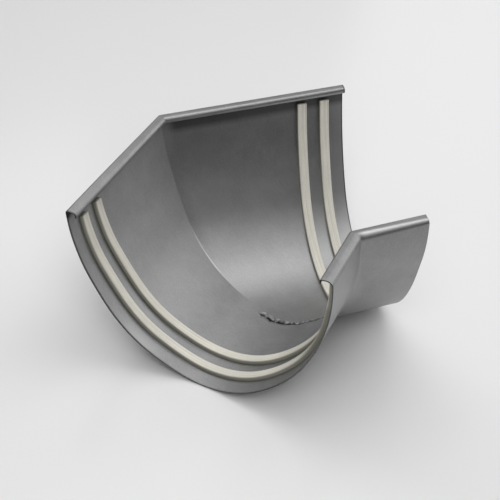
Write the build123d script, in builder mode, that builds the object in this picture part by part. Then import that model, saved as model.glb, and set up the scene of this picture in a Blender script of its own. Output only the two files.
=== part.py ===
import os
from math import acos, cos, degrees, radians, sin, tan

from build123d import *

# An inside angle for a half-round steel gutter: one pressed sheet with two short legs, a folded
# long rim, a rounded short rim, and two rubber strips across each open end. The long side meets
# on a crisp mitre, and the short side is drawn round a bend.
# X runs across the corner, +Y points from the short rim to the long rim, and Z is up.

# Corner: plan angle between the legs, length along each leg's middle, and the slanted far trim
corner_angle = 135.0
leg_length = 81.0
far_trim_angle = 8.0
short_side_bend = 12.0

# Section of the sheet, measured on its outer face; heights are above the floor it stands on
sheet = 0.7
bottom_radius = 70.0
bottom_long_angle = 58.0
bottom_short_angle = 62.0
long_wall_radius = 195.0
long_rim_height = 97.4
short_wall_radius = 111.0
short_rim_height = 103.7

# Folded edge of the long rim
long_lip_width = 6.5
long_lip_drop = 3.0
long_lip_bend = 1.2

# Rounded bead of the short rim
short_bead_width = 7.5
short_bead_slope = 8.0
short_bead_drop = 2.5
short_bead_bend = 4.2
short_bead_tip_bend = 1.2

# Rubber strips, bonded to the inner face
seal_width = 6.0
seal_thickness = 2.5
seal_gap = 9.0
seal_end_margin = 9.5
seal_bond = 0.2
seal_stop_long = 3.5
seal_stop_short = 8.0

# Directions of the left leg; the right leg mirrors them about the mitre plane
half_angle = radians(corner_angle / 2)
left_axis = Vector(-sin(half_angle), -cos(half_angle), 0)
left_inward = Vector(cos(half_angle), -sin(half_angle), 0)
right_axis = Vector(sin(half_angle), -cos(half_angle), 0)
right_inward = Vector(-cos(half_angle), -sin(half_angle), 0)
mitre = Plane.YZ


def on_arc(radius, angle, centre=(0.0, 0.0)):
    """Point of a section arc, its angle counted from straight down towards the short rim."""
    return (centre[0] + radius * sin(radians(angle)), centre[1] - radius * cos(radians(angle)))


def angle_at_height(height, radius, centre):
    """Angle from straight down at which a wall's arc reaches a height above the floor."""
    return degrees(acos((centre[1] + bottom_radius - height) / radius))


# Each wall's arc runs on from the bottom arc, with its centre on the line through their joint
long_wall_centre = on_arc(bottom_radius - long_wall_radius, -bottom_long_angle)
short_wall_centre = on_arc(bottom_radius - short_wall_radius, bottom_short_angle)
long_rim_angle = angle_at_height(long_rim_height, long_wall_radius, long_wall_centre)
short_rim_angle = angle_at_height(short_rim_height, short_wall_radius, short_wall_centre)


def trough_arcs(inset, long_stop=0.0, short_stop=0.0):
    """The long wall, bottom and short wall as tangent arcs; a stop shortens a wall from its top."""
    down = -90
    long_turn = long_rim_angle - bottom_long_angle - degrees(long_stop / long_wall_radius)
    short_turn = short_rim_angle - bottom_short_angle - degrees(short_stop / short_wall_radius)
    long_joint = down - bottom_long_angle
    short_joint = down + bottom_short_angle
    CenterArc(long_wall_centre, long_wall_radius - inset, long_joint - long_turn, long_turn)
    CenterArc((0, 0), bottom_radius - inset, long_joint, bottom_long_angle + bottom_short_angle)
    CenterArc(short_wall_centre, short_wall_radius - inset, short_joint, short_turn)


def square_plane(axis, inward, distance, facing):
    """Plane square to a leg with the section upright on it; facing is 1 outwards and -1 inwards."""
    return Plane(origin=axis * distance, x_dir=inward, z_dir=axis * facing)


# Outer face at the top of each wall, and the edge of the short rim's bead
long_top = on_arc(long_wall_radius, -long_rim_angle, long_wall_centre)
short_top = on_arc(short_wall_radius, short_rim_angle, short_wall_centre)
bead_edge = short_top[0] - short_bead_width
bead_edge_height = short_top[1] - short_bead_width * tan(radians(short_bead_slope))
lip_edge = long_top[0] + long_lip_width

# The far end is trimmed on a plane turned from square by the trim angle
far_trim = Plane(origin=right_axis * leg_length, z_dir=right_axis.rotate(Axis.Z, -far_trim_angle))
half_width = max(-long_top[0], short_top[0])
trim_reach = half_width * tan(radians(far_trim_angle)) + sheet
mitre_reach = half_width / tan(half_angle) + sheet

# The bend touches the line along the bottom of each leg, where the section starts to rise
floor_level = Plane.XY.offset(-bottom_radius)
bend_start = left_axis * (short_side_bend / tan(half_angle))
bend_end = right_axis * (short_side_bend / tan(half_angle))
bend_middle = Vector(0, short_side_bend - short_side_bend / sin(half_angle), 0)
clear_of_corner = -2 * half_width

# The sheet: one leg's section is drawn out, mitred and mirrored
with BuildPart() as angle_body:
    with BuildSketch(square_plane(left_axis, left_inward, leg_length + trim_reach, 1)):
        with BuildLine() as section:
            Polyline((lip_edge, long_top[1] - long_lip_drop), (lip_edge, long_top[1]), long_top)
            trough_arcs(0)
            Polyline(
                short_top,
                (bead_edge, bead_edge_height),
                (bead_edge, bead_edge_height - short_bead_drop),
            )
            fillet(section.vertices().sort_by_distance((lip_edge, long_top[1]))[0], long_lip_bend)
            fillet(section.vertices().sort_by_distance(long_top)[0], long_lip_bend)
            fillet(section.vertices().sort_by_distance(short_top)[0], short_bead_bend)
            fillet(
                section.vertices().sort_by_distance((bead_edge, bead_edge_height))[0],
                short_bead_tip_bend,
            )
            offset(amount=sheet, side=Side.LEFT)
        make_face()
    extrude(amount=-leg_length - trim_reach - mitre_reach)
    split(bisect_by=mitre, keep=Keep.BOTTOM)
    mirror(about=mitre)

    # The mitre's short side is taken out from the bottom line outwards
    with BuildSketch(floor_level):
        with BuildLine():
            Polyline(
                (0, 0),
                (bend_start.X, bend_start.Y),
                (bend_start.X, clear_of_corner),
                (bend_end.X, clear_of_corner),
                (bend_end.X, bend_end.Y),
                close=True,
            )
        make_face()
    extrude(amount=bottom_radius + half_width, mode=Mode.SUBTRACT)

    # Its section is carried round the bend instead, always upright and facing the same way
    leg_face = angle_body.faces().filter_by(Axis.X).sort_by_distance(bend_start)[0]
    with BuildLine(floor_level) as bend_line:
        ThreePointArc(
            (bend_start.X, bend_start.Y),
            (bend_middle.X, bend_middle.Y),
            (bend_end.X, bend_end.Y),
        )
    sweep(sections=leg_face, path=bend_line.wire(), normal=(1, 0, 0))

    # The level bottom fills what is left between the bend and the mitre
    with BuildSketch(floor_level):
        with BuildLine():
            Polyline((bend_start.X, bend_start.Y), (0, 0), (bend_end.X, bend_end.Y))
            ThreePointArc(
                (bend_start.X, bend_start.Y),
                (bend_middle.X, bend_middle.Y),
                (bend_end.X, bend_end.Y),
            )
        make_face()
    extrude(amount=sheet)
    split(bisect_by=square_plane(left_axis, left_inward, leg_length, 1), keep=Keep.BOTTOM)
    split(bisect_by=far_trim, keep=Keep.BOTTOM)


def seal_outline():
    """Outline of a rubber strip's section, lying on the sheet's inner face from rim to rim."""
    trough_arcs(sheet + seal_bond, seal_stop_long, seal_stop_short)
    offset(amount=seal_thickness, side=Side.LEFT)


# Two strips across each end, counted from the open edge
os.makedirs("parts", exist_ok=True)
pieces = [("angle_body", angle_body)]
for name, margin in (
    ("end_seal", seal_end_margin),
    ("inner_seal", seal_end_margin + seal_width + seal_gap),
):
    with BuildPart() as left_seal:
        with BuildSketch(square_plane(left_axis, left_inward, leg_length - margin, 1)):
            with BuildLine():
                seal_outline()
            make_face()
        extrude(amount=-seal_width)
    with BuildPart() as right_seal:
        with BuildSketch(square_plane(right_axis, right_inward, leg_length + trim_reach, -1)):
            with BuildLine():
                seal_outline()
            make_face()
        extrude(amount=leg_length + trim_reach)
        split(bisect_by=far_trim.offset(-margin), keep=Keep.BOTTOM)
        split(bisect_by=far_trim.offset(-margin - seal_width), keep=Keep.TOP)
    pieces.append(("left_" + name, left_seal))
    pieces.append(("right_" + name, right_seal))

# Stand the corner on the floor, centred on its own outline
outline = angle_body.part.bounding_box()
to_floor = Location((-outline.center().X, -outline.center().Y, -outline.min.Z))
for name, piece in pieces:
    piece.part.move(to_floor)
    piece.part.label = name
    export_step(piece.part, "parts/" + name + ".step")
    print(name, round(piece.part.volume, 1))
print("moved by", to_floor.position)
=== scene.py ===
import bpy
import numpy as np
from bpy.props import FloatProperty, FloatVectorProperty, PointerProperty
from mathutils import Matrix, Vector


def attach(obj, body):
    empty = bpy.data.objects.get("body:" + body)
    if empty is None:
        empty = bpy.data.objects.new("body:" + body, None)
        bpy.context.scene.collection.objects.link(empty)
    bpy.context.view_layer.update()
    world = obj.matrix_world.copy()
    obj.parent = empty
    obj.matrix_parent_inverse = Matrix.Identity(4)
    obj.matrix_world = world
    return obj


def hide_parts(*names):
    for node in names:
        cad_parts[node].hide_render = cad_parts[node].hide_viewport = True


bl_info = {
    "name": "Gutter Angle",
    "version": (1, 0, 0),
    "blender": (4, 5, 0),
    "location": "3D View > Sidebar > Gutter",
    "description": "Pressed steel inside angle for a half-round gutter, with rubber strips in both ends",
    "category": "Object",
}

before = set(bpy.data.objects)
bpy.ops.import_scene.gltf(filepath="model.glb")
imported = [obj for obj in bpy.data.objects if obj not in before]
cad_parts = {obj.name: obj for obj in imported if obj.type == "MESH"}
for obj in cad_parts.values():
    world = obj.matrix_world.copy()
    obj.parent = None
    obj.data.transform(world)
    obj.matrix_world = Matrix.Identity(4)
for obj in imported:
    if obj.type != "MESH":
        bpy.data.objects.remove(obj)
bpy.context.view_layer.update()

# Sizes of the solids, in millimetres, in the corner's own frame: the mitre is the plane x = 0
HALF_ANGLE = np.radians(67.5)
FAR_TRIM = np.radians(8.0)
LEG = 81.0
SHEET = 0.7
BOTTOM_RADIUS = 70.0
BOTTOM_LONG, BOTTOM_SHORT = 58.0, 62.0
LONG_WALL_RADIUS, SHORT_WALL_RADIUS = 195.0, 111.0
LONG_RIM, SHORT_RIM = 97.4, 103.7
LIP_WIDTH, LIP_DROP, LIP_BEND, LIP_EDGE_BEND = 6.5, 3.0, 1.2, 2.3
BEAD_DROP, BEAD_TIP_BEND = 2.5, 1.2

# Height of the short rim, width of its bead, radius of its large bend and its slope on each leg
LEFT_BEAD = (SHORT_RIM, 7.5, 4.2, np.radians(8.0))
RIGHT_BEAD = (101.7, 6.6, 2.3, np.radians(2.0))

# The rubber strips: which leg, margin from its open end, width, and how far it stops below each rim
STRIPS = {
    "left_end_seal": (-1, 11.4, 6.1, 11.0, 5.0),
    "left_inner_seal": (-1, 27.0, 6.1, 11.0, 8.0),
    "right_end_seal": (1, 10.5, 6.6, 8.3, 8.0),
    "right_inner_seal": (1, 26.3, 6.6, 8.3, 8.0),
}
SEAL_THICKNESS, SEAL_BOND = 2.5, 0.2

# Air left under a strip, rounding of its upper corners, and how far its cut ends are drawn in
SEAL_AIR, SEAL_CORNER, SEAL_END_INSET = 0.05, 0.85, 0.3

# The left end strip creeps to the open end up the short wall, and stands prouder there
CREEPING_STRIP, CREEP, CREEP_RISE, CREEP_SPAN = "left_end_seal", 5.0, 1.3, (72.0, 118.0)

# From the corner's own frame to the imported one, in millimetres: the offset of its outline's centre
TO_FRAME = np.array([-5.50616, 4.15109, 70.0])

# Stations along the legs: the zone at the mitre, how they crowd in it, and their numbers
CORNER_REACH, CORNER_CROWDING, CORNER_STATIONS, LEG_STATIONS = 12.0, 2.2, 121, 14

# The sheet's cut ends: their chamfer, and where the next two stations lie as shares of the leg, over
# which the painted shade on the cut edge fades out
CUT_CHAMFER, CUT_SHARES = 0.12, (0.003, 0.012)

# Half width of the zone in which the legs' sections blend, and where the early corner's shift has run out
SECTION_BLEND = 3.0
RIM_END = 56.0


def arc(centre, radius, start, stop, count):
    """Points centre + radius * (cos a, sin a) for a from start to stop degrees, with normals to the centre."""
    angle = np.radians(np.linspace(start, stop, count))
    ray = np.stack([np.cos(angle), np.sin(angle)], 1)
    return np.asarray(centre) + radius * ray, -ray


def joined(parts):
    """Runs and arcs one after another: points, normals, and the distance walked along them."""
    points = np.concatenate([parts[0][0]] + [part[0][1:] for part in parts[1:]])
    normals = np.concatenate([parts[0][1]] + [part[1][1:] for part in parts[1:]])
    walked = np.concatenate([[0.0], np.cumsum(np.linalg.norm(np.diff(points, axis=0), axis=1))])
    return points, normals, walked


def run(start, stop, count):
    """Points on the straight line from start to stop, with normals to its left."""
    start, stop = np.asarray(start, float), np.asarray(stop, float)
    share = np.linspace(0.0, 1.0, count)[:, None]
    way = (stop - start) / np.linalg.norm(stop - start)
    return start + share * (stop - start), np.tile([-way[1], way[0]], (count, 1))


def heading(point, centre):
    """Direction from centre to point, in degrees from 0 to 360."""
    return np.degrees(np.arctan2(point[1] - centre[1], point[0] - centre[0])) % 360.0


def from_down(radius, angle, centre=(0.0, 0.0)):
    """Point of an arc, its angle in degrees counted from straight down towards the short rim."""
    turn = np.radians(angle)
    return np.array([centre[0] + radius * np.sin(turn), centre[1] - radius * np.cos(turn)])


LONG_CENTRE = from_down(BOTTOM_RADIUS - LONG_WALL_RADIUS, -BOTTOM_LONG)
SHORT_CENTRE = from_down(BOTTOM_RADIUS - SHORT_WALL_RADIUS, BOTTOM_SHORT)


def wall_top(height, radius, centre, side):
    """Where a wall's arc reaches a height above the floor; side is -1 for the long wall, 1 for the short."""
    rise = height - BOTTOM_RADIUS - centre[1]
    return np.array([centre[0] + side * np.sqrt(radius**2 - rise**2), height - BOTTOM_RADIUS])


LONG_TOP = wall_top(LONG_RIM, LONG_WALL_RADIUS, LONG_CENTRE, -1)
SHORT_TOP = wall_top(SHORT_RIM, SHORT_WALL_RADIUS, SHORT_CENTRE, 1)


def sheet_section(bead):
    """Outer face of the sheet from the long lip's edge round to the short bead's edge.

    Straight runs and left-turning arcs follow one another: the lip's drop, two small bends with the flat
    lip between them, the long wall, the bottom, the short wall, the bead's large bend, the bead and its
    tip. Each bend touches its wall's arc from inside, so its centre is radius - bend from the wall's.
    Returns points, normals into the sheet, and the distance along the face from the lowest point.
    """
    edge = LONG_TOP[0] + LIP_WIDTH
    low = LONG_TOP[1] - LIP_BEND
    edge_low = LONG_TOP[1] - LIP_EDGE_BEND
    reach = LONG_WALL_RADIUS - LIP_BEND
    long_bend = np.array([LONG_CENTRE[0] - np.sqrt(reach**2 - (low - LONG_CENTRE[1]) ** 2), low])

    rim, width, bend, fall = bead
    top = wall_top(rim, SHORT_WALL_RADIUS, SHORT_CENTRE, 1)
    along = np.array([-np.cos(fall), -np.sin(fall)])
    under = np.array([-along[1], along[0]])
    start = top + bend * under - SHORT_CENTRE
    half = start @ along
    far = half**2 - start @ start + (SHORT_WALL_RADIUS - bend) ** 2
    roots = -half + np.array([1.0, -1.0]) * np.sqrt(far)
    short_bend = SHORT_CENTRE + start + along * roots[np.argmin(np.abs(roots))]

    tip_edge = top[0] - width
    tip_start = top + BEAD_TIP_BEND * under
    tip_bend = tip_start + along * (tip_edge + BEAD_TIP_BEND - tip_start[0]) / along[0]
    tip_low = top[1] - width * np.tan(fall) - BEAD_DROP
    slope = 90.0 + np.degrees(fall)
    wall_end = (heading(short_bend, SHORT_CENTRE) + 180) % 360 - 180

    points, normals, walked = joined([
        run((edge, LONG_TOP[1] - LIP_DROP), (edge, edge_low), 3),
        arc((edge - LIP_EDGE_BEND, edge_low), LIP_EDGE_BEND, 0, 90, 9),
        run((edge - LIP_EDGE_BEND, LONG_TOP[1]), (long_bend[0], LONG_TOP[1]), 4),
        arc(long_bend, LIP_BEND, 90, heading(long_bend, LONG_CENTRE), 7),
        arc(LONG_CENTRE, LONG_WALL_RADIUS, heading(long_bend, LONG_CENTRE), 270 - BOTTOM_LONG, 32),
        arc((0, 0), BOTTOM_RADIUS, 270 - BOTTOM_LONG, 270, 36),
        arc((0, 0), BOTTOM_RADIUS, 270, 270 + BOTTOM_SHORT, 140),
        arc(SHORT_CENTRE, SHORT_WALL_RADIUS, 270 + BOTTOM_SHORT - 360, wall_end, 48),
        arc(short_bend, bend, wall_end, slope, 14),
        run(short_bend - bend * under, tip_bend - BEAD_TIP_BEND * under, 5),
        arc(tip_bend, BEAD_TIP_BEND, slope, 180, 7),
        run((tip_edge, tip_bend[1]), (tip_edge, tip_low), 3),
    ])
    return points, normals, walked - walked[np.argmin(points[:, 1])]


def step_up(value, low, high):
    """Smooth step from 0 at low to 1 at high."""
    share = np.clip((value - low) / (high - low), 0.0, 1.0)
    return share * share * (3.0 - 2.0 * share)


def fade(value, low, high):
    """Smooth step from 1 at low to 0 at high."""
    return 1.0 - step_up(value, low, high)


def plateau(value, middle, half_width):
    """Flat-topped bell exp(-|(value - middle) / half width|^3)."""
    return np.exp(-(np.abs((value - middle) / half_width) ** 3))


def bell(value, middle, half_width):
    """Bell exp(-((value - middle) / half width)^2)."""
    return np.exp(-(((value - middle) / half_width) ** 2))


def corner_softness(walk):
    """Half width in mm over which the two legs blend at the mitre, by the distance from the lowest point.

    It is a crisp fold along the long side, opens from the lowest point up the short side, and narrows
    again into the bead.
    """
    opened = 0.45 + 8.3 * step_up(walk, 0.0, 45.0)
    return opened - 7.6 * step_up(walk, 96.0, 122.0)


def corner_early(walk):
    """How far before the mitre, in mm, the left leg's short rim turns: 4.7 at the bead, 5.4 at its tip."""
    return 4.7 * step_up(walk, 100.0, 130.0) + 0.7 * step_up(walk, 143.0, 151.0)


def place(across, up, x, softness, early=0.0):
    """Section points (across, up) carried to plan position x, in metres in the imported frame.

    Both legs keep their distance `across` from the corner's middle line, so y = -(across + |x| cos h) / sin h.
    Where the corner is early by e, |x| is e + |x + e|, and beyond the corner it shrinks evenly so that it
    meets |x| again at RIM_END. It is rounded to t^2 / 2w + w / 2 within the softness w of the corner t = 0.
    """
    turn = x + early
    rounded = np.where(np.abs(turn) < softness, turn * turn / (2 * softness) + softness / 2, np.abs(turn))
    rounded = early + rounded * np.where(turn > 0.0, 1.0 - 2.0 * early / (RIM_END + early), 1.0)
    y = -(across + rounded * np.cos(HALF_ANGLE)) / np.sin(HALF_ANGLE)
    return (np.stack(np.broadcast_arrays(x, y, up), -1) + TO_FRAME) / 1000.0


def end_of_left_leg(across, margin=0.0):
    """Plan position x of the left leg's square end, margin in from it."""
    return -(LEG - margin) * np.sin(HALF_ANGLE) + across * np.cos(HALF_ANGLE)


def end_of_right_leg(across, margin=0.0):
    """Plan position x of the right leg's slanted end, margin in from it and square to the slant."""
    leg = LEG - across * np.tan(FAR_TRIM) - margin / np.cos(FAR_TRIM)
    return leg * np.sin(HALF_ANGLE) - across * np.cos(HALF_ANGLE)


def left_leg_push(walk, x):
    """How far the left leg's sheet stands outside its drawn section, in mm.

    It is flatter low on the long side and fuller under the long rim, and this grows evenly from nothing
    at the mitre to the open end.
    """
    shape = 2.0 * plateau(walk, -115.0, 22.0) - 3.6 * plateau(walk, -43.0, 33.0)
    return shape * np.clip(-x / 75.0, 0.0, 1.0)


def left_end_bow(walk):
    """How far the left leg's open end bows out past its square cut round the bottom, in mm."""
    return 2.4 * bell(walk, 27.0, 26.0)


def strip_wander(walk):
    """How far the left leg's strips lie inwards of an even margin: in up the long side, out at the bottom."""
    return 0.45 * bell(walk, -74.0, 18.0) - 0.45 * bell(walk, 5.0, 28.0)


def seam_line(walk):
    """Plan position x of the pinched seam: it slants across the mitre, with two small waves."""
    slant = -4.6 + 10.0 * np.clip((walk - 20.0) / 40.0, 0.0, 1.0) ** 1.3
    return slant + 0.28 * np.sin(walk * 0.62) + 0.16 * np.sin(walk * 1.73 + 1.0)


def pinch(walk, x):
    """How deep the metal is pressed outwards beside the mitre, in mm, and how far it is in the slit.

    The slit is a bell across the seam line, cut off softly at both ends, with a wider blob at its start
    and two wider stretches. Beside it run three shrinking ripples, thin wrinkles leave it on the far side,
    and its far half rides on a low ridge.
    """
    off = x - seam_line(walk)
    length = step_up(walk, 6.5, 9.5) * fade(walk, 64.0, 72.0)
    uneven = 0.8 + 0.2 * np.sin(walk * 0.85 + 0.6) + 0.2 * np.sin(walk * 2.1) * np.sin(walk * 0.37)
    width = 0.82 + 0.25 * np.sin(walk * 0.21 - 3.47) + 0.35 * bell(walk, 10.0, 1.8)
    width = width + 0.13 * np.sin(walk * 1.9 + 2.0) + 0.1 * np.sin(walk * 4.3 + 0.5)
    width = width * (1.0 + 1.9 * step_up(walk, 30.0, 46.0))
    slit = bell(off, 0.0, width) * length * uneven
    ripple = np.cos(off * 1.9 + 0.9 * np.sin(walk * 0.35)) * bell(off, 0.0, 3.2) * length
    wrinkle = np.sin(walk * 1.05 + off * 0.8) * bell(off, 2.6, 2.4) * length
    ridge = plateau(walk, 56.0, 15.0) * bell(off, 0.0, 8.0)
    return 1.7 * slit * step_up(walk, 7.0, 20.0) - 0.2 * ripple + 0.15 * wrinkle - 1.8 * ridge, slit


def side_quads(steps, around):
    """Quads between steps + 1 closed outlines of around points each, numbered outline by outline."""
    i, j = np.meshgrid(np.arange(steps), np.arange(around), indexing="ij")
    k = (j + 1) % around
    corners = [i * around + j, (i + 1) * around + j, (i + 1) * around + k, i * around + k]
    return np.stack(corners, -1).reshape(-1, 4)


def point_layer(mesh, label, values):
    """Stores one value for each vertex under a name that the material reads."""
    mesh.attributes.new(label, "FLOAT", "POINT").data.foreach_set("value", values.ravel().astype(np.float32))


def lay_pattern(mesh, along, around):
    """UV map in decimetres: U runs along the leg and V round the section, so streaks follow the sheet."""
    corners = np.empty(len(mesh.loops), np.int32)
    mesh.loops.foreach_get("vertex_index", corners)
    flat = np.stack([along.ravel(), around.ravel()], 1) / 100.0
    mesh.uv_layers.new(name="lay").data.foreach_set("uv", flat[corners].ravel().astype(np.float32))


def closed_shell(name, near, far, rounding, layers):
    """A sheet's two faces closed into one solid mesh.

    near and far are (rows, stations, 3) grids of the two faces, and rounding is the pair of grids that
    round the last and the first row. Each station's outline is the near rows, the last rounding, the far
    rows backwards and the first rounding; stations are joined by quads. Both ends are closed by quads
    between the two faces and one five-sided face at each rounding.
    """
    rows, stations = near.shape[:2]
    last, first = rounding
    loop = np.concatenate([near, last, far[::-1], first], 0)
    around = len(loop)
    row = np.arange(rows - 1)
    back = rows + len(last) + rows - 1 - row
    cap = np.stack([row, row + 1, back - 1, back], -1)
    ends = np.array([np.arange(rows - 1, rows + 4), (np.arange(5) + around - 4) % around])
    offset = (stations - 1) * around
    faces = np.concatenate([side_quads(stations - 1, around), cap, (cap + offset)[:, ::-1]]).tolist()
    faces += ends.tolist() + (ends + offset)[:, ::-1].tolist()
    mesh = bpy.data.meshes.new(name)
    mesh.from_pydata(loop.transpose(1, 0, 2).reshape(-1, 3), [], faces)
    for label, values in layers.items():
        point_layer(mesh, label, values.T)
    return mesh


def finish_piece(mesh, material, nodes):
    """Smooths a mesh, links it as a piece of the angle and hides the solids it stands for."""
    mesh.validate()
    mesh.shade_smooth()
    mesh.set_sharp_from_angle(angle=np.radians(32.0))
    mesh.materials.append(material)
    piece = bpy.data.objects.new(mesh.name, mesh)
    bpy.context.scene.collection.objects.link(piece)
    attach(piece, "root")
    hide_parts(*nodes)
    return piece


def looped(near_values, far_values):
    """Values on the two faces' grids carried round each station's outline, as closed_shell orders it."""
    last, first = np.repeat(near_values[-1:], 3, 0), np.repeat(near_values[:1], 3, 0)
    return np.concatenate([near_values, last, far_values[::-1], first])


def edge_rounding(near, far, row, inner):
    """Three rows that round the sheet's edge at a row; inner is the row beside it."""
    turn = np.radians([45.0, 90.0, 135.0])[:, None, None]
    out = (near[row] - far[row]) / 2
    step = near[row] - near[inner]
    step = step / np.linalg.norm(step, axis=-1, keepdims=True)
    size = np.linalg.norm(out, axis=-1, keepdims=True)
    return (near[row] + far[row]) / 2 + np.cos(turn) * out + np.sin(turn) * step * size


def sheet_layers(walk, x_near, x_far, slit_near, slit_far):
    """The masks that the steel's material reads, each 0 to 1, as grids round each station's outline.

    cut is 1 at both open ends, where it darkens the cut edges as painted shade. The brightening mask is
    painted light: a painted glint on the fold on the long side, bands at the open ends, the middle of the
    right leg's long wall and, outside, a painted highlight on the right bead's bend. The mask under the rims
    is painted shade inside both folded rims and on the top of the right leg's long wall. slit is the pinched
    slit, and also the two hollows seen at the left open end, both darkened as painted shade.
    """
    from_left, from_right = x_far - x_far[:, :1], x_far[:, -1:] - x_far
    on_right = step_up(x_far, 0.0, 10.0)
    down = walk[:, None]
    lip_end = walk[0] + LIP_DROP + LIP_WIDTH
    bead_start = walk[-1] - LEFT_BEAD[1]

    # Painted shade: the cut edges are darkened
    cut = np.zeros_like(x_near)
    cut[:, [0, 1, -2, -1]] = 1.0

    # Painted light: a glint along the fold, bands at the open ends, the right long wall and the right bead's
    # bend
    glint = 0.2 + 0.8 * step_up(down, -68.0, -52.0) * fade(down, -36.0, -24.0)
    fold = bell(x_far, 0.0, 0.42) * glint * step_up(down, -118.0, -100.0) * fade(down, -30.0, -8.0)
    painted_light = (0.02 + 0.34 * plateau(down, -45.0, 14.0)) * fade(from_left, 2.0, 11.0)
    painted_light = painted_light + 0.3 * fade(from_right, 2.0, 11.0) + 0.1 * fade(from_right, 21.0, 28.0)
    painted_light = np.maximum(painted_light + 0.2 * plateau(down, -72.0, 26.0) * on_right, fold)
    bead_highlight = 0.75 * np.exp(-(((down - 144.2) / 2.3) ** 4)) * step_up(x_near, -5.0, 0.0)

    # Painted shade inside both folded rims and on the top of the right leg's long wall
    under_rims = fade(down, lip_end - 0.5, lip_end + 4.5) + step_up(down, bead_start - 8.0, bead_start - 1.0)
    shaded = 0.65 * fade(down, lip_end + 8.0, lip_end + 13.0) + 0.22 * fade(down, -128.0, -88.0)
    rim_shade = np.maximum(under_rims, shaded * on_right)

    # Painted shade: the slit and the two hollows at the left open end go near black
    deepest = fade(down, lip_end + 2.0, lip_end + 5.5) + step_up(down, walk[-1] - 5.5, walk[-1] - 4.0)
    slit = np.maximum(slit_far, deepest * fade(from_left, 4.5, 8.0))
    return {
        "rim_shade": looped(0.0 * rim_shade, rim_shade),
        "slit": looped(slit_near * 0.15, slit),
        "cut": looped(cut, cut),
        "painted_light": looped(bead_highlight, painted_light),
    }


def pressed_sheet(material):
    """The whole angle as one sheet: the section carried over both legs, softened and pinched at the mitre.

    Each leg has its own section. The two are blended within SECTION_BLEND of the mitre, and in the bead
    evenly from the corner to the right leg's open end. Stations across the mitre are spaced by sinh, so
    that they crowd at the fold, and evenly from there to each open end.
    """
    left_face, left_normal, walk = sheet_section(LEFT_BEAD)
    right_face, right_normal, _ = sheet_section(RIGHT_BEAD)
    down = walk[:, None]
    even = np.linspace(-1.0, 1.0, CORNER_STATIONS)
    middle = CORNER_REACH * np.sinh(CORNER_CROWDING * even) / np.sinh(CORNER_CROWDING)
    first, second = CUT_SHARES
    side = np.concatenate([[0.0, first], second + np.linspace(0.0, 1.0 - second, LEG_STATIONS)])
    in_bead = step_up(down, 118.0, 134.0)
    early = corner_early(down)
    # The metal may be pressed outwards only as far as it stands above the floor
    room = 0.9 * (left_face[:, 1:] + BOTTOM_RADIUS) / np.maximum(left_normal[:, 1:], 0.05)

    def stations(across_left, across_right):
        """Plan positions x from the left leg's open end to the right's, for each row."""
        left = end_of_left_leg(across_left)[:, None] - left_end_bow(down)
        right = end_of_right_leg(across_right)[:, None]
        before = left + (-CORNER_REACH - left) * side[None, :]
        after = right + (CORNER_REACH - right) * side[None, ::-1]
        return np.concatenate([before[:, :-1], np.tile(middle, (len(walk), 1)), after[:, 1:]], 1)

    def face(depth):
        """The face at a depth into the sheet, with the slit's mask and the plan positions."""
        on_left = left_face + depth * left_normal
        on_right = right_face + depth * right_normal
        x = stations(on_left[:, 0], on_right[:, 0])
        press, slit = pinch(down, x)
        press = np.minimum(press + left_leg_push(down, x), room)
        chamfer = np.zeros(x.shape)
        chamfer[:, [0, -1]] = CUT_CHAMFER if depth < SHEET / 2 else -CUT_CHAMFER
        along_rim = np.clip((x + early) / (RIM_END + early), 0.0, 1.0)
        share = step_up(x, -SECTION_BLEND, SECTION_BLEND) * (1.0 - in_bead) + along_rim * in_bead
        share = share[..., None]
        normal = left_normal[:, None] + share * (right_normal - left_normal)[:, None]
        spot = on_left[:, None] + share * (on_right - on_left)[:, None] + (chamfer - press)[..., None] * normal
        return place(spot[..., 0], spot[..., 1], x, corner_softness(down), early), slit, x

    near, slit_near, x_near = face(0.0)
    far, slit_far, x_far = face(SHEET)
    rounding = (edge_rounding(near, far, -1, -2), edge_rounding(near, far, 0, 1)[::-1])
    layers = sheet_layers(walk, x_near, x_far, slit_near, slit_far)
    mesh = closed_shell("pressed_sheet", near, far, rounding, layers)
    rows = np.tile(down, (1, x_near.shape[1]))
    lay_pattern(mesh, looped(x_near, x_far).T, looped(rows, rows).T)
    return finish_piece(mesh, material, ["angle_body"])


def strip_path(stop_long, stop_short):
    """Outer-face points, normals and walked lengths along which a strip lies, stopping short of both rims."""
    first = heading(LONG_TOP, LONG_CENTRE) + np.degrees(stop_long / LONG_WALL_RADIUS)
    last = (heading(SHORT_TOP, SHORT_CENTRE) + 180) % 360 - 180 - np.degrees(stop_short / SHORT_WALL_RADIUS)
    points, normals, walked = joined([
        arc(LONG_CENTRE, LONG_WALL_RADIUS, first, 270 - BOTTOM_LONG, 56),
        arc((0, 0), BOTTOM_RADIUS, 270 - BOTTOM_LONG, 270 + BOTTOM_SHORT, 148),
        arc(SHORT_CENTRE, SHORT_WALL_RADIUS, 270 + BOTTOM_SHORT - 360, last, 70),
    ])
    # One more row close to each end lets the strip's cut ends be rounded
    share = np.array([0.0, 0.25])[:, None]
    head = points[:1] + share * (points[1:2] - points[:1])
    tail = points[-1:] + share[::-1] * (points[-2:-1] - points[-1:])
    points = np.concatenate([head, points[1:-1], tail])
    normals = np.concatenate([normals[:1], normals, normals[-1:]])
    inset = SEAL_END_INSET
    walked = np.concatenate([walked[:1], walked[:1] + inset, walked[1:-1], walked[-1:] - inset, walked[-1:]])
    return points, normals, walked - walked[np.argmin(points[:, 1])]


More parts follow.
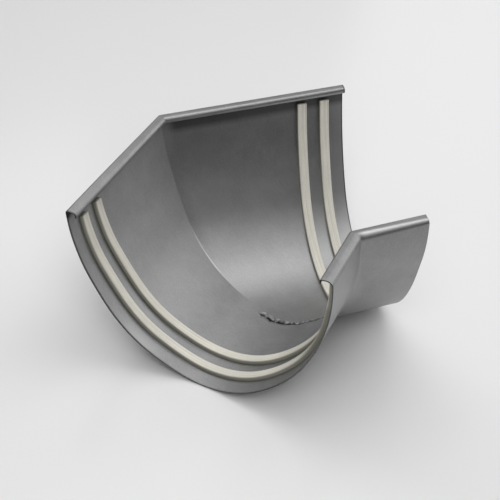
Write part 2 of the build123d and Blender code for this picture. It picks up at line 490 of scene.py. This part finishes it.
def rubber_strip(name, material):
    """A rubber strip laid round the trough: a rounded rectangle carried along the section's arcs.

    Its section spans the strip's width along the leg and its thickness off the steel, with two rounded
    upper corners, and is drawn in at the two cut ends. Its sides carry painted shade, and the creeping
    strip's flanks are darkened up the short wall as painted shadow, except at its end.
    """
    side, margin, width, stop_long, stop_short = STRIPS[name]
    flat, inward, walk = strip_path(stop_long, stop_short)
    down = walk[:, None]
    creeping = name == CREEPING_STRIP
    creep = step_up(down, *CREEP_SPAN) * creeping
    half = width / 2
    low, high = SHEET + SEAL_AIR, SHEET + SEAL_BOND + SEAL_THICKNESS
    turn = np.radians(np.linspace(0, 90, 5))
    cut_by_sine, cut_by_cosine = SEAL_CORNER * (1 - np.sin(turn)), SEAL_CORNER * (1 - np.cos(turn))
    ring_x = np.concatenate([[-half], -half + cut_by_cosine, half - cut_by_sine, [half]])
    ring_d = np.concatenate([[low], high - cut_by_sine, high - cut_by_cosine, [low]])
    height = (ring_d - low) / (high - low)
    drawn_in = np.zeros((len(walk), 1))
    drawn_in[[0, -1]] = SEAL_END_INSET
    depth = ring_d + (CREEP_RISE * creep - drawn_in) * height
    aside = ring_x * (1.0 - drawn_in / half)
    across = flat[:, :1] + depth * inward[:, :1]
    if side < 0:
        middle = margin + half + strip_wander(down) - CREEP * creep
        x = end_of_left_leg(across, middle) - left_end_bow(down) + aside * np.sin(HALF_ANGLE)
        depth = depth - left_leg_push(down, x)
    else:
        x = end_of_right_leg(across, margin + half) + aside * np.sin(HALF_ANGLE) / np.cos(FAR_TRIM)
    across = flat[:, :1] + depth * inward[:, :1]
    up = flat[:, 1:] + depth * inward[:, 1:]
    grid = place(across, up, x, np.full_like(across, 1e-3))
    rows, around = grid.shape[:2]
    caps = [list(range(around)), list(range((rows - 1) * around, rows * around))[::-1]]
    mesh = bpy.data.meshes.new(name)
    mesh.from_pydata(grid.reshape(-1, 3), [], side_quads(rows - 1, around).tolist() + caps)
    # Painted shade on the sides below the rounded tops, and painted shadow on the creeping strip up the short
    # wall
    dimmed = 1.0 - 0.6 * step_up(down, 60.0, 88.0) * fade(down, 117.0, 122.0) * creeping
    point_layer(mesh, "raised", step_up(height, 0.55, 1.0) * dimmed)
    lay_pattern(mesh, *np.broadcast_arrays(aside + ring_d, down))
    return finish_piece(mesh, material, [name])


def group_of(name, inputs):
    """An empty shader node group with float inputs (name, default) and the outputs Mask and Height."""
    group = bpy.data.node_groups.new(name, "ShaderNodeTree")
    for label, default in inputs:
        socket = group.interface.new_socket(name=label, in_out="INPUT", socket_type="NodeSocketFloat")
        socket.default_value = default
    for label in ("Mask", "Height"):
        group.interface.new_socket(name=label, in_out="OUTPUT", socket_type="NodeSocketFloat")
    return group, group.nodes.new("NodeGroupInput"), group.nodes.new("NodeGroupOutput")


def math_node(tree, operation, first, second):
    """A Math node; each operand is a number or a socket."""
    node = tree.nodes.new("ShaderNodeMath")
    node.operation = operation
    for index, value in enumerate((first, second)):
        if isinstance(value, (int, float)):
            node.inputs[index].default_value = value
        else:
            tree.links.new(value, node.inputs[index])
    return node.outputs[0]


def grain_group():
    """Speckle of two sizes in object space: the mask is 0.5 on average and the height drives a bump."""
    group, given, result = group_of("speckle", [("Scale", 900.0), ("Coarse", 0.35)])
    place_at = group.nodes.new("ShaderNodeTexCoord")
    fine, coarse = group.nodes.new("ShaderNodeTexNoise"), group.nodes.new("ShaderNodeTexNoise")
    fine.inputs["Detail"].default_value = 3.0
    coarse.inputs["Detail"].default_value = 4.0
    for node in (fine, coarse):
        group.links.new(place_at.outputs["Object"], node.inputs["Vector"])
    group.links.new(given.outputs["Scale"], fine.inputs["Scale"])
    group.links.new(math_node(group, "MULTIPLY", given.outputs["Scale"], 0.06), coarse.inputs["Scale"])
    low = math_node(group, "MULTIPLY", coarse.outputs["Fac"], given.outputs["Coarse"])
    rest = math_node(group, "SUBTRACT", 1.0, given.outputs["Coarse"])
    high = math_node(group, "MULTIPLY", fine.outputs["Fac"], rest)
    group.links.new(math_node(group, "ADD", low, high), result.inputs["Mask"])
    group.links.new(fine.outputs["Fac"], result.inputs["Height"])
    return group


def drawn_group():
    """Fine lines left by rolling or extruding: noise on the laid pattern, stretched along one direction."""
    group, given, result = group_of("drawn_lines", [("Across", 160.0), ("Along", 6.0)])
    layer = group.nodes.new("ShaderNodeUVMap")
    layer.uv_map = "lay"
    split = group.nodes.new("ShaderNodeSeparateXYZ")
    join = group.nodes.new("ShaderNodeCombineXYZ")
    group.links.new(layer.outputs["UV"], split.inputs[0])
    group.links.new(math_node(group, "MULTIPLY", split.outputs["X"], given.outputs["Across"]), join.inputs["X"])
    group.links.new(math_node(group, "MULTIPLY", split.outputs["Y"], given.outputs["Along"]), join.inputs["Y"])
    lines = group.nodes.new("ShaderNodeTexNoise")
    lines.inputs["Scale"].default_value = 1.0
    lines.inputs["Detail"].default_value = 5.0
    group.links.new(join.outputs[0], lines.inputs["Vector"])
    group.links.new(lines.outputs["Fac"], result.inputs["Mask"])
    group.links.new(lines.outputs["Fac"], result.inputs["Height"])
    return group


def use_group(tree, group, **values):
    """Places a group in a material with its own values."""
    node = tree.nodes.new("ShaderNodeGroup")
    node.node_tree = group
    for label, value in values.items():
        node.inputs[label].default_value = value
    return node


def mixed(tree, share, first, second):
    """A colour mix node; first and second are colours or sockets."""
    node = tree.nodes.new("ShaderNodeMix")
    node.data_type = "RGBA"
    tree.links.new(share, node.inputs["Factor"])
    for socket, value in ((node.inputs[6], first), (node.inputs[7], second)):
        if isinstance(value, tuple):
            socket.default_value = (*value, 1.0)
        else:
            tree.links.new(value, socket)
    return node.outputs[2]


def ranged(tree, value, low, high):
    """Maps 0..1 to low..high."""
    node = tree.nodes.new("ShaderNodeMapRange")
    tree.links.new(value, node.inputs["Value"])
    node.inputs["To Min"].default_value = low
    node.inputs["To Max"].default_value = high
    return node.outputs["Result"]


def bumped(tree, height, strength, distance, onto=None):
    """A bump node whose height is in the pattern's units and distance in metres."""
    node = tree.nodes.new("ShaderNodeBump")
    node.inputs["Strength"].default_value = strength
    node.inputs["Distance"].default_value = distance
    tree.links.new(height, node.inputs["Height"])
    if onto is not None:
        tree.links.new(onto, node.inputs["Normal"])
    return node.outputs["Normal"]


def weighted(tree, grain, lines, share):
    """The two patterns' masks added up, the grain by its share and the lines by the rest."""
    return math_node(tree, "ADD", math_node(tree, "MULTIPLY", grain.outputs["Mask"], share),
                     math_node(tree, "MULTIPLY", lines.outputs["Mask"], 1.0 - share))


def tinted(base, *shares):
    """A base colour scaled by one share, or by one for each channel, and kept under 1."""
    return tuple(min(1.0, c * k) for c, k in zip(base, shares * (3 // len(shares))))


def new_material(name):
    """A node material with its tree and Principled shader."""
    material = bpy.data.materials.new(name)
    material.use_nodes = True
    tree = material.node_tree
    return material, tree, tree.nodes["Principled BSDF"]


def attribute(tree, name):
    """The value of one of a mesh's own point layers."""
    node = tree.nodes.new("ShaderNodeAttribute")
    node.attribute_name = name
    return node.outputs["Fac"]


def steel_material(sizes, speckle, drawn):
    """Satin coated steel: speckle and faint rolling lines, painted highlights, and painted shade in its
    hollows, slit and cut edges.
    """
    material, tree, shader = new_material("coated_steel")
    grain = use_group(tree, speckle, Scale=1500.0, Coarse=0.35)
    lines = use_group(tree, drawn, Across=150.0, Along=14.0)
    base = tuple(sizes.steel_colour)
    both = weighted(tree, grain, lines, 0.75)
    colour = mixed(tree, ranged(tree, both, -0.75, 1.75), tinted(base, 0.8), tinted(base, 1.2))
    # Painted light from the brightening mask
    colour = mixed(tree, attribute(tree, "painted_light"), colour, tinted(base, 1.9))
    # Painted shade on the cut edges
    colour = mixed(tree, attribute(tree, "cut"), colour, tinted(base, 0.35))
    # Painted shade under the rims
    rim_shade = math_node(tree, "MULTIPLY", attribute(tree, "rim_shade"), 0.85)
    colour = mixed(tree, rim_shade, colour, tinted(base, 0.12))
    # Painted shade, near black, in the slit and the hollows at the left open end
    slit = math_node(tree, "MINIMUM", math_node(tree, "MULTIPLY", attribute(tree, "slit"), 1.4), 1.0)
    tree.links.new(mixed(tree, slit, colour, (0.03, 0.03, 0.029)), shader.inputs["Base Color"])
    gloss = ranged(tree, both, sizes.steel_roughness - 0.12, sizes.steel_roughness + 0.12)
    tree.links.new(gloss, shader.inputs["Roughness"])
    shader.inputs["Metallic"].default_value = 0.95
    shader.inputs["Specular IOR Level"].default_value = 0.5
    near = bumped(tree, grain.outputs["Height"], 0.5, 0.00005)
    tree.links.new(bumped(tree, lines.outputs["Height"], 0.08, 0.00005, near), shader.inputs["Normal"])
    return material


def rubber_material(sizes, speckle, drawn):
    """Pale matt rubber with painted shade down its sides: fine speckle and faint lines along the strip."""
    material, tree, shader = new_material("seal_rubber")
    grain = use_group(tree, speckle, Scale=1300.0, Coarse=0.5)
    lines = use_group(tree, drawn, Across=110.0, Along=2.0)
    base = tuple(sizes.rubber_colour)
    both = weighted(tree, grain, lines, 0.35)
    colour = mixed(tree, ranged(tree, both, -1.2, 2.2), tinted(base, 0.78), tinted(base, 1.1))
    # Painted shade: the sides below the rounded tops take a darker copy of the rubber
    colour = mixed(tree, attribute(tree, "raised"), tinted(base, 0.36, 0.37, 0.34), colour)
    tree.links.new(colour, shader.inputs["Base Color"])
    tree.links.new(ranged(tree, both, 0.5, 0.68), shader.inputs["Roughness"])
    shader.inputs["Specular IOR Level"].default_value = 0.35
    near = bumped(tree, grain.outputs["Height"], 0.2, 0.00006)
    tree.links.new(bumped(tree, lines.outputs["Height"], 0.15, 0.00005, near), shader.inputs["Normal"])
    return material


def floor_material(sizes, speckle):
    """Pale board with a slight sheen."""
    material, tree, shader = new_material("pale_floor")
    grain = use_group(tree, speckle, Scale=300.0, Coarse=0.5)
    base = tuple(sizes.floor_colour)
    tree.links.new(mixed(tree, grain.outputs["Mask"], tinted(base, 0.985), base), shader.inputs["Base Color"])
    shader.inputs["Roughness"].default_value = 0.2
    shader.inputs["Specular IOR Level"].default_value = 0.35
    return material


def once(name, make):
    """A node group made the first time it is asked for."""
    return bpy.data.node_groups.get(name) or make()


def colour_choice(name, thing, default):
    """A colour in the panel."""
    return FloatVectorProperty(
        name=name, description=f"Colour of the {thing}", subtype="COLOR", size=3, min=0, max=1, default=default,
    )


def light_power(name, light, default):
    """The power of a light in the panel."""
    return FloatProperty(name=name, description=f"Power of the {light}", unit="POWER", min=0, default=default)


class GutterAngleSizes(bpy.types.PropertyGroup):
    """Colours and finish of the gutter angle."""

    steel_colour: colour_choice("Steel", "coated steel", (0.32, 0.32, 0.322))
    steel_roughness: FloatProperty(
        name="Steel Roughness", description="How matt the coated steel is", subtype="FACTOR",
        min=0, max=1, default=0.45,
    )
    rubber_colour: colour_choice("Rubber", "rubber strips", (0.74, 0.715, 0.635))


class GutterStageSizes(bpy.types.PropertyGroup):
    """Floor and lights round the gutter angle."""

    floor_colour: colour_choice("Floor", "floor", (0.86, 0.86, 0.86))
    top_power: light_power("Top Light", "large light overhead", 8.1)
    band_power: light_power("Band Light", "small light overhead", 1.84)
    right_power: light_power("Right Light", "light behind on the right", 2.3)
    side_power: light_power("Side Light", "low light at the right side", 3.6)
    fill_power: light_power("Fill Light", "soft light in front", 6.5)
    back_power: light_power("Back Light", "high light behind", 3.4)
    room_light: FloatProperty(
        name="Room Light", description="Strength of the even light all round", min=0, default=0.02,
    )


class GUTTERANGLE_OT_sheet(bpy.types.Operator):
    """Make the pressed steel sheet of the angle"""

    bl_idname = "gutter_angle.sheet"
    bl_label = "Pressed Sheet"

    def execute(self, context):
        sizes = context.scene.gutter_angle
        speckle, drawn = once("speckle", grain_group), once("drawn_lines", drawn_group)
        pressed_sheet(steel_material(sizes, speckle, drawn))
        return {"FINISHED"}


class GUTTERANGLE_OT_strips(bpy.types.Operator):
    """Make the four rubber strips, two across each open end"""

    bl_idname = "gutter_angle.strips"
    bl_label = "Rubber Strips"

    def execute(self, context):
        sizes = context.scene.gutter_angle
        speckle, drawn = once("speckle", grain_group), once("drawn_lines", drawn_group)
        material = rubber_material(sizes, speckle, drawn)
        for name in STRIPS:
            rubber_strip(name, material)
        return {"FINISHED"}


def area_light(name, spot, size, power):
    """A square area light turned to the middle of the floor."""
    data = bpy.data.lights.new(name, "AREA")
    data.shape = "SQUARE"
    data.size = size
    data.energy = power
    light = bpy.data.objects.new(name, data)
    bpy.context.scene.collection.objects.link(light)
    light.location = spot
    light.rotation_mode = "QUATERNION"
    light.rotation_quaternion = (-Vector(spot)).to_track_quat("-Z", "Y")


class GUTTERANGLE_OT_stage(bpy.types.Operator):
    """Make the floor, the lights and the camera"""

    bl_idname = "gutter_angle.stage"
    bl_label = "Floor, Lights and Camera"

    def execute(self, context):
        scene = context.scene
        sizes = scene.gutter_stage
        mesh = bpy.data.meshes.new("floor")
        reach = 4.0
        corners = [(-reach, -reach, 0), (reach, -reach, 0), (reach, reach, 0), (-reach, reach, 0)]
        mesh.from_pydata(corners, [], [(0, 1, 2, 3)])
        mesh.materials.append(floor_material(sizes, once("speckle", grain_group)))
        floor = bpy.data.objects.new("floor", mesh)
        scene.collection.objects.link(floor)

        world = bpy.data.worlds.new("studio")
        world.use_nodes = True
        world.node_tree.nodes["Background"].inputs["Color"].default_value = (1.0, 1.0, 1.0, 1.0)
        world.node_tree.nodes["Background"].inputs["Strength"].default_value = sizes.room_light
        scene.world = world
        scene.view_settings.view_transform = "Standard"
        for name, spot, size, power in (
            ("top", (0.0, 0.0, 1.2), 1.6, sizes.top_power),
            ("band", (0.4, 0.05, 1.1), 0.6, sizes.band_power),
            ("right", (1.2, 0.4, 0.6), 0.9, sizes.right_power),
            ("side", (1.15, -0.3, 0.5), 0.85, sizes.side_power),
            ("fill", (-0.7, -0.7, 1.1), 0.8, sizes.fill_power),
            ("back", (0.2, 0.9, 1.0), 0.9, sizes.back_power),
        ):
            area_light(name, spot, size, power)

        camera = bpy.data.objects.new("camera", bpy.data.cameras.new("camera"))
        camera.data.sensor_width = 36.0
        camera.data.lens = 89.49
        camera.data.clip_start, camera.data.clip_end = 0.02, 20.0
        right = (0.713176, -0.699405, 0.047034)
        up = (0.399971, 0.461113, 0.792085)
        back = (-0.575676, -0.546084, 0.608597)
        turned = Matrix((right, up, back)).transposed().to_4x4()
        turned.translation = (-0.44789, -0.40970, 0.50775)
        camera.matrix_world = turned
        scene.collection.objects.link(camera)
        scene.camera = camera
        return {"FINISHED"}


class GUTTERANGLE_PT_panel(bpy.types.Panel):
    """Lists the pieces of the gutter angle"""

    bl_label = "Gutter Angle"
    bl_idname = "GUTTERANGLE_PT_panel"
    bl_space_type = "VIEW_3D"
    bl_region_type = "UI"
    bl_category = "Gutter"

    def draw(self, context):
        layout = self.layout
        for group in (context.scene.gutter_angle, context.scene.gutter_stage):
            for name in group.__annotations__:
                layout.prop(group, name)
        for operator in (GUTTERANGLE_OT_sheet, GUTTERANGLE_OT_strips, GUTTERANGLE_OT_stage):
            layout.operator(operator.bl_idname)


CLASSES = (
    GutterAngleSizes, GutterStageSizes, GUTTERANGLE_OT_sheet, GUTTERANGLE_OT_strips, GUTTERANGLE_OT_stage,
    GUTTERANGLE_PT_panel,
)


def register():
    for item in CLASSES:
        bpy.utils.register_class(item)
    bpy.types.Scene.gutter_angle = PointerProperty(type=GutterAngleSizes)
    bpy.types.Scene.gutter_stage = PointerProperty(type=GutterStageSizes)


def unregister():
    del bpy.types.Scene.gutter_stage
    del bpy.types.Scene.gutter_angle
    for item in reversed(CLASSES):
        bpy.utils.unregister_class(item)


def main():
    register()
    bpy.ops.gutter_angle.sheet()
    bpy.ops.gutter_angle.strips()
    bpy.ops.gutter_angle.stage()


if __name__ == "__main__":
    main()
